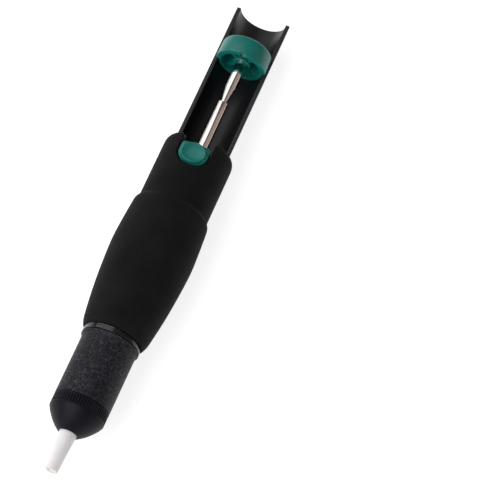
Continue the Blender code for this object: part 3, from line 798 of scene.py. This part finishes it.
def make_pin(look):
    span = Span("cleaning_pin", NEEDLE_FACET)
    point = smooth(measured(span.start, [(0.02, 0.18), (0.35, 0.42)])
                   + [(span.start + 1.6 * MM, span.radius)], 5)
    back = measured(span.end, [(-0.15, 0.0), (0.0, -0.15)], span.radius)
    outline = [(span.start, 0.0)] + point + back + [(span.end, 0.0)]
    item = lathe("cleaning_needle", outline, 48, closed=False)
    install(item, "plunger", "cleaning_pin", look)


def make_piston(look):
    span = Span("piston")
    groove = span.start + 4.7 * MM
    front = measured(span.start, [(0.0, 0.0), (1.6, 0.0), (1.6, -0.5), (2.4, -0.5), (2.4, 0.0)],
                     span.radius)
    seal = [(groove, span.radius), (groove, 6.7 * MM), (groove + 1.8 * MM, 6.7 * MM),
            (groove + 1.8 * MM, span.radius)]
    rear = measured(span.end, [(0.0, 5.0), (-1.0, 4.6), (-1.0, 1.7)])
    outline = [(span.start, 1.7 * MM)] + front + seal + [(span.end, span.radius)] + rear
    item = lathe("piston_head", rounded(outline, 0.3 * MM, 4))
    install(item, "plunger", "piston", look)


def make_washer(name, node, body, inner, look, edge=0.15 * MM):
    """A flat washer, seat or bumper with softened edges."""
    span = Span(node, SMALL_FACET)
    outline = rounded(ring(span.start, span.end, inner, span.radius), edge, 4)
    install(lathe(name, outline, SMALL_SIDES), body, node, look)


def make_bush(look):
    span = Span("rod_bush", SMALL_FACET)
    flange = span.end - 1.0 * MM
    bore = 2.3 * MM
    body = 3.1 * MM
    outline = [(span.start, bore), (span.start, body), (flange, body),
               (flange, span.radius), (span.end, span.radius), (span.end, bore)]
    item = lathe("rod_guide", rounded(outline, 0.2 * MM, 4), SMALL_SIDES)
    install(item, "housing", "rod_bush", look)


def make_nut(look):
    """A hexagon nut: a turned blank with both faces chamfered, cut to six flats."""
    low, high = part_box("piston_nut")
    corner = 3.0 * MM
    flat = corner * math.cos(math.pi / 6)
    chamfer = 0.3 * MM
    rows = [(low.x, 1.7 * MM), (low.x, flat * 0.97), (low.x + chamfer, corner),
            (high.x - chamfer, corner), (high.x, flat * 0.97), (high.x, 1.7 * MM)]
    fine = rows[:2] + divided(rows[2], rows[3], 4) + rows[4:]

    def shape(angle, x, radius):
        if radius < 2 * MM:
            return radius
        turned = (angle + math.pi / 6) % (math.pi / 3) - math.pi / 6
        return min(radius, flat / math.cos(turned))

    item = lathe("piston_nut_hex", fine, shape=shape, sharp=25)
    install(item, "plunger", "piston_nut", look)


def make_cross_pins(look):
    """Roll pins with rounded ends."""
    for side in ("left", "right"):
        node = "housing_pin_" + side
        low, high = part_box(node)
        centre = (low + high) / 2
        radius = (high.x - low.x) / 2
        work = bmesh.new()
        bmesh.ops.create_cone(work, cap_ends=True, segments=48, radius1=radius, radius2=radius,
                              depth=high.y - low.y)
        bmesh.ops.bevel(work, geom=[e for e in work.edges if len(e.link_faces) == 2
                                    and e.calc_face_angle(0.0) > 1.0],
                        offset=0.15 * MM, segments=3, profile=0.5, affect="EDGES")
        bmesh.ops.rotate(work, matrix=Matrix.Rotation(math.pi / 2, 3, "X"), verts=work.verts)
        bmesh.ops.translate(work, vec=centre, verts=work.verts)
        install(finish_mesh("roll_pin_" + side, work), "housing", node, look)


def make_main_spring(look):
    low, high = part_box("main_spring")
    length = high.x - low.x
    points = spring_points((low.x, 0.0, AXIS_Z), (1, 0, 0), (0, 1, 0), length, 6.6 * MM,
                           1.0 * MM, 11)
    item = install(wire("drive_spring", points, 0.5 * MM), "housing", "main_spring",
                   look)
    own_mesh(item)


def make_latch_spring(look):
    low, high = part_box("latch_spring")
    centre = (low + high) / 2
    length = high.z - low.z
    points = spring_points((centre.x, 0.0, low.z), (0, 0, 1), (1, 0, 0), length, 1.6 * MM,
                           0.35 * MM, 4)
    item = install(wire("button_spring", points, 0.175 * MM, 12), "housing", "latch_spring",
                   look)
    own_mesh(item)


# Grip

def button_shape():
    """The button's shoulder station, front half-length, half width and back, from its node."""
    low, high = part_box("release_button")
    return low.x + 4.6 * MM, 4.6 * MM, 5.6 * MM, high.x


def notch_cutter(name, gap, low, high, end):
    """The button's opening: half-oval towards the nozzle, straight towards the guard's end."""
    centre, length, half, _ = button_shape()
    width = half + gap
    round_end = peg(name, (0.0, 0.0, 0.0), width, high - low, "Z", 96)
    round_end.data.transform(Matrix.Translation((centre, 0.0, (low + high) / 2))
                             @ Matrix.Diagonal(((length + gap) / width, 1.0, 1.0, 1.0)))
    straight = block(name + "_straight", (centre, -width, low), (end, width, high))
    return combine(round_end, [straight], "UNION")


def corner_cutter(name, x, y, radius, low, high, side):
    """What rounds off an upright corner at (x, y) of a piece that lies outside it."""
    near, far = sorted((y - side * 0.1 * MM, y + side * radius))
    cutter = block(name, (x - radius, near, low), (x + radius * 3, far, high))
    keep = peg(name + "_keep", (x - radius, y + side * radius, (low + high) / 2), radius,
               high - low + 2 * MM, "Z", 48)
    return combine(cutter, [keep])


def make_grip(look):
    """The sleeve: a bulge, a moulded step and a straight cuff, cut out for the button."""
    span = Span("grip")
    collar = Span("collar")
    housing = Span("rear_housing")
    step = span.start + 54.2 * MM
    cuff = 13.5 * MM
    socket = 9.9 * MM
    recess = housing.radius + 0.3 * MM
    stop = housing.start - 0.3 * MM
    front = [(span.start, socket), (span.start, collar.radius + 0.25 * MM)]
    crown = (span.start + 35.2 * MM, span.radius - 0.05 * MM)
    bulge = smooth(measured(span.start, [(0.3, 11.75), (1.2, 12.12), (3.0, 12.7), (7.2, 13.33),
                                         (15.2, 14.35), (25.2, 15.2)]) + [crown]
                   + measured(span.start, [(44.2, 15.35)])
                   + measured(step, [(-1.6, 14.75), (-0.5, 14.45)]), 6)
    seam = rounded(measured(step, [(-0.45, 14.4), (0.0, 14.2)])
                   + measured(step, [(0.5, 0.0), (2.0, 0.0)], cuff), 0.3 * MM, 4, closed=False)
    rear = smooth(measured(span.end, [(-3.4, 0.0), (-1.9, -0.2), (-0.7, -0.85), (-0.1, -1.8)],
                           cuff) + [(span.end, housing.radius + 0.5 * MM)], 5)
    inside = [(span.end, recess), (stop, recess), (stop, socket)]
    outline = front + bulge + seam + rear + inside
    item = lathe("foam_grip", outline, 180)
    low = AXIS_Z + 6 * MM
    high = AXIS_Z + 25 * MM
    cutters = [notch_cutter("notch", 0.5 * MM, low, high, span.end + 5 * MM)]
    for side in (1, -1):
        cutters.append(corner_cutter("notch_corner", span.end, side * 6.1 * MM, 2.2 * MM, low,
                                     high, side))
    combine(item, cutters)
    remesh = item.modifiers.new("remesh", "REMESH")
    remesh.mode = "VOXEL"
    remesh.voxel_size = 0.42 * MM
    remesh.use_smooth_shade = True
    relax = item.modifiers.new("relax", "SMOOTH")
    relax.factor = 0.5
    relax.iterations = 6
    apply_modifiers(item)
    item.data.shade_smooth()
    install(item, "housing", "grip", look)


# Housing, knob and button

def make_rear_housing(look):
    """The guard: a tube behind the cylinder that opens into a half-round channel."""
    span = Span("rear_housing")
    grip = Span("grip")
    bore = 9.2 * MM
    socket = 9.9 * MM
    wall = span.start + 6.0 * MM
    mouth = grip.end - 0.7 * MM
    outline = [(span.start, socket), (span.start, span.radius), (span.end, span.radius),
               (span.end, bore), (wall + 3.0 * MM, bore), (wall + 3.0 * MM, 3.3 * MM),
               (wall, 3.3 * MM), (wall, socket)]
    item = lathe("guard_housing", outline)
    opening = block("opening", (mouth, -20 * MM, AXIS_Z), (span.end + 5 * MM, 20 * MM,
                    AXIS_Z + 20 * MM))
    window = notch_cutter("window", 0.3 * MM, AXIS_Z + 4 * MM, AXIS_Z + 18 * MM,
                          mouth + 5 * MM)
    combine(item, [opening, window, pin_hole()])
    bevel_edges(item, 0.2 * MM, lambda place: place.x > mouth - 0.01 * MM
                and (place.z < AXIS_Z + 0.01 * MM or abs(place.x - mouth) < 0.01 * MM))
    install(item, "housing", "rear_housing", look)


def make_knob(look):
    """A cup with a boss and four webs; its front half is wider and rides over the rims."""
    low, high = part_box("knob")
    start = low.x
    end = high.x
    radius = (high.y - low.y) / 2 / FACET
    back = 8.9 * MM
    cavity = 7.7 * MM
    boss = 3.6 * MM
    floor = end - 2.2 * MM
    inside = rounded([(start + 1.0 * MM, 0.0), (start + 1.0 * MM, boss), (floor, boss + 0.15 * MM),
                      (floor, cavity - 0.2 * MM), (start, cavity), (start, radius),
                      (end - 0.02 * MM, radius - 0.15 * MM)], 0.32 * MM, 5, closed=False)[:-1]
    top = smooth(measured(end, [(-1.3, -0.12), (-0.45, -0.5), (-0.05, -1.3), (-0.15, -2.6),
                                (-0.6, -5.4)], radius) + [(end - 0.85 * MM, 0.0)], 6)
    outline = inside + top

    def shape(angle, x, own):
        if own < cavity + 0.3 * MM:
            return own
        turn = abs(angle if angle < math.pi else angle - TAU)
        behind = ease((turn - math.radians(88.5)) / math.radians(2.5))
        excess = (radius - back) * (own - cavity) / (radius - cavity)
        return own - excess * behind

    item = lathe("thumb_knob", outline, 240, closed=False, shape=shape)
    webs = []
    for index, side in enumerate((1, -1)):
        web = block("web_%d" % index, (start + 1.7 * MM, -7.9 * MM, -0.6 * MM),
                    (floor + 0.4 * MM, 7.9 * MM, 0.6 * MM))
        web.data.transform(Matrix.Translation((0, 0, AXIS_Z))
                           @ Matrix.Rotation(math.radians(45) * side, 4, "X"))
        webs.append(web)
    combine(item, webs, "UNION")
    bore_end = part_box("piston_rod")[1].x + 0.3 * MM
    bore = peg("bore", (bore_end - 5 * MM, 0.0, AXIS_Z), 2.35 * MM, 10 * MM, "X")
    notch = block("rim_notch", (start - 1 * MM, -0.55 * MM, AXIS_Z + 7.2 * MM),
                  (start + 0.75 * MM, 0.55 * MM, AXIS_Z + 12 * MM))
    combine(item, [bore, notch])
    shade(item, 35)
    install(item, "plunger", "knob", look)


def base_outline(angle, length, half, straight):
    """A point of the button's outline: half-oval towards the nozzle, square towards the guard.
    Angle 0 points to the guard; half is the half width and straight the flat side's place."""
    x = math.cos(angle)
    y = math.sin(angle)
    if x <= 0:
        return (length * x, half * y)
    power = 7.0
    scale = ((x / straight) ** power + (abs(y) / half) ** power) ** (-1 / power)
    return (scale * x, scale * y)


def make_button(look):
    """A dished oval pad on a base that fills the sleeve's opening."""
    low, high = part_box("release_button")
    centre, length, half, back = button_shape()
    straight = back - centre
    pad_centre = -0.1 * MM
    top = high.z
    steps = 120
    flange_top = low.z + 1.3 * MM
    # The base's rows: where they start, the rise from there and the inset, in millimetres
    base_rows = [(low.z, 0.8, 0.25), (low.z, 1.1, 0.0), (flange_top, 1.0, 0.0),
                 (top, -2.0, 0.0), (top, -1.75, 0.07), (top, -1.65, 0.2)]
    # The pad's rows: rise from the top, half-length and half width, in millimetres
    pad_rows = [(-1.6, 4.3, 4.92), (-1.45, 4.2, 4.8), (-0.4, 4.08, 4.68), (-0.15, 4.02, 4.62),
                (-0.03, 3.9, 4.5), (0.0, 3.76, 4.36), (-0.04, 3.6, 4.2), (-0.16, 3.3, 3.85),
                (-0.33, 2.7, 3.1), (-0.46, 1.9, 2.2), (-0.53, 1.0, 1.15)]
    # Height, share of the way from base to pad, base inset, pad half-length and half width
    rows = [(place + rise * MM, 0.0, inset * MM, 0.0, 0.0) for place, rise, inset in base_rows]
    rows += [(top + rise * MM, 1.0, 0.0, along * MM, across * MM)
             for rise, along, across in pad_rows]
    work = bmesh.new()
    rings = []
    for height, share, inset, pad_length, pad_width in rows:
        row = []
        for step in range(steps):
            angle = TAU * step / steps
            x, y = base_outline(angle, length - inset, half - inset, straight - inset)
            x += (pad_centre + pad_length * math.cos(angle) - x) * share
            y += (pad_width * math.sin(angle) - y) * share
            row.append(work.verts.new((centre + x, y, height)))
        rings.append(row)
    join_rows(work, rings)
    work.faces.new(rings[0])
    middle = work.verts.new((centre + pad_centre, 0.0, top - 0.55 * MM))
    for step in range(steps):
        work.faces.new([rings[-1][step], rings[-1][(step + 1) % steps], middle])
    item = finish_mesh("push_button", work, 35)
    flange = block("flange", (centre - 4.2 * MM, low.y, low.z),
                   (high.x - 0.4 * MM, high.y, flange_top))
    combine(item, [flange], "UNION")
    plate_low, plate_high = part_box("latch_plate")
    slot = block("slot", (plate_high.x - 1.15 * MM, plate_low.y - 0.2 * MM, low.z - 1 * MM),
                 (plate_high.x + 0.15 * MM, plate_high.y + 0.2 * MM, plate_high.z + 0.3 * MM))
    combine(item, [slot])
    shade(item, 35)
    install(item, "button", "release_button", look)


def dress_latch_plate(look):
    """The stamped plate keeps its CAD shape."""
    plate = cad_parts["latch_plate"]
    coat(plate, look)


# Stage

def camera_axes():
    """The camera's right, up and back directions in the model's frame."""
    along = Vector((math.cos(TILT) * math.sin(LEAN), math.cos(TILT) * math.cos(LEAN),
                    -math.sin(TILT)))
    facing = Vector((math.sin(TILT) * math.sin(LEAN), math.sin(TILT) * math.cos(LEAN),
                     math.cos(TILT)))
    side = along.cross(facing)
    up = facing * math.cos(ROLL) - side * math.sin(ROLL)
    rows = Matrix((along, up.cross(along), up))
    return [column.copy() for column in rows.col]


def posed(place, right, up, back):
    """The world matrix of something at a place with the given axes."""
    return Matrix.Translation(place) @ Matrix((right, up, back)).transposed().to_4x4()


def make_camera():
    right, up, back = camera_axes()
    middle = Vector((AIM_STATION, 0.0, AXIS_Z))
    place = middle + right * AIM[0] + up * AIM[1] + back * DISTANCE
    data = bpy.data.cameras.new("camera")
    data.lens = LENS
    data.sensor_width = 36.0
    data.clip_start = 0.01
    data.clip_end = 20.0
    camera = add_object("camera", data)
    camera.matrix_world = posed(place, right, up, back)
    bpy.context.scene.camera = camera


def softbox(name, direction, across, distance, size, radiance, colour=(1.0, 1.0, 1.0)):
    """An area light of the given radiance that faces the pump, with its width along across."""
    data = bpy.data.lights.new(name, "AREA")
    data.shape = "RECTANGLE"
    data.size, data.size_y = size
    data.energy = math.pi * size[0] * size[1] * radiance
    data.color = colour
    back = direction.normalized()
    up = back.cross(across).normalized()
    target = Vector((LAMP_STATION, 0.0, AXIS_Z))
    lamp = add_object(name, data)
    lamp.matrix_world = posed(target + back * distance, up.cross(back), up, back)


def make_lights():
    """A bright sweep beyond the guard's end, to its left, a dim warm one to the right, and a
    large key light from the left."""
    right, up, back = camera_axes()
    softbox("sweep", up * 0.855 - right * 0.33 + back * 0.40, back * 0.72 + right * 0.69, 1.0,
            (1.28, 0.6), 1.35)
    softbox("warm_side", right * 0.88 + up * 0.34 + back * 0.33, right * 0.41 - up * 0.51
            - back * 0.63, 1.0, (0.95, 0.45), 0.3, (1.0, 0.53, 0.38))
    softbox("key", back * 0.83 - right * 0.55 - up * 0.05, up, 1.1, (0.95, 0.95), 3.3,
            (1.0, 0.99, 1.0))
    world = bpy.data.worlds.new("studio")
    world.use_nodes = True
    background = world.node_tree.nodes["Background"]
    background.inputs["Color"].default_value = (0.93, 0.96, 1.0, 1.0)
    background.inputs["Strength"].default_value = 0.13
    bpy.context.scene.world = world


def make_floor():
    """A plain pale floor under the pump, lit a little from below like a light table."""
    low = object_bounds()[0]
    work = bmesh.new()
    bmesh.ops.create_grid(work, x_segments=8, y_segments=8, size=3.0)
    bmesh.ops.translate(work, vec=(0, 0, low.z - 0.05 * MM), verts=work.verts)
    floor = finish_mesh("floor", work)
    look = Look("floor_paper", (0.5, 0.5, 0.5), 0.9, specular=0.1)
    fibre = look.noise(2 * MM, 5.0)
    look.feed("Base Color", look.mix(fibre, (0.48, 0.48, 0.48), (0.52, 0.52, 0.52)))
    look.set("Emission Color", (1.0, 1.0, 1.0, 1.0))
    look.set("Emission Strength", 0.84)
    coat(floor, look.material)


def main():
    black = satin_black("satin_black")
    # The nose cap's paler edges (0.09) are partly a painted highlight along its lip.
    cap_black = satin_black("cap_black", (0.0065, 0.006, 0.0095), 0.42, 0.11, 0.09)
    teal = teal_plastic()
    rubber = seal_rubber()
    zinc = metal("zinc_steel", (0.58, 0.58, 0.57), 0.3, 0.3 * MM)
    wire_steel = metal("spring_steel", (0.50, 0.49, 0.47), 0.26, 0.25 * MM)
    bright = metal("polished_steel", (0.78, 0.76, 0.73), 0.07, 0.14 * MM, 0.0001 * MM, 0.85)
    brass = metal("turned_brass", (0.72, 0.52, 0.24), 0.24, 0.2 * MM)
    nozzle = Span("nozzle")
    cone = Span("nose_cone")

    make_nozzle(ptfe_white(nozzle.start, cone.start))
    make_nose_cone(cap_black)
    make_ring("nose_seal_ring", "nose_o_ring", "nose_seal", rubber, SMALL_FACET)
    make_front_barrel(pebble_black())
    make_ring("barrel_seal_ring", "barrel_o_ring", "housing", rubber)
    make_collar(gloss_black())
    make_main_barrel(black)
    make_cross_pins(zinc)
    make_washer("spring_washer", "spring_seat", "housing", 4.5 * MM, zinc)
    make_main_spring(wire_steel)
    make_piston(acetal_white())
    make_ring("piston_seal_ring", "piston_o_ring", "plunger", rubber)
    make_washer("piston_plate", "piston_washer", "plunger", 1.7 * MM, zinc)
    make_nut(zinc)
    make_rod(bright)
    make_pin(zinc)
    make_washer("stop_bumper", "bumper", "housing", 2.7 * MM, rubber, 0.5 * MM)
    make_bush(brass)
    make_grip(foam_black())
    make_rear_housing(black)
    make_knob(teal)
    make_button(teal)
    dress_latch_plate(zinc)
    make_latch_spring(wire_steel)
    make_floor()
    make_camera()
    make_lights()
    bpy.context.scene.view_settings.view_transform = "Standard"


main()
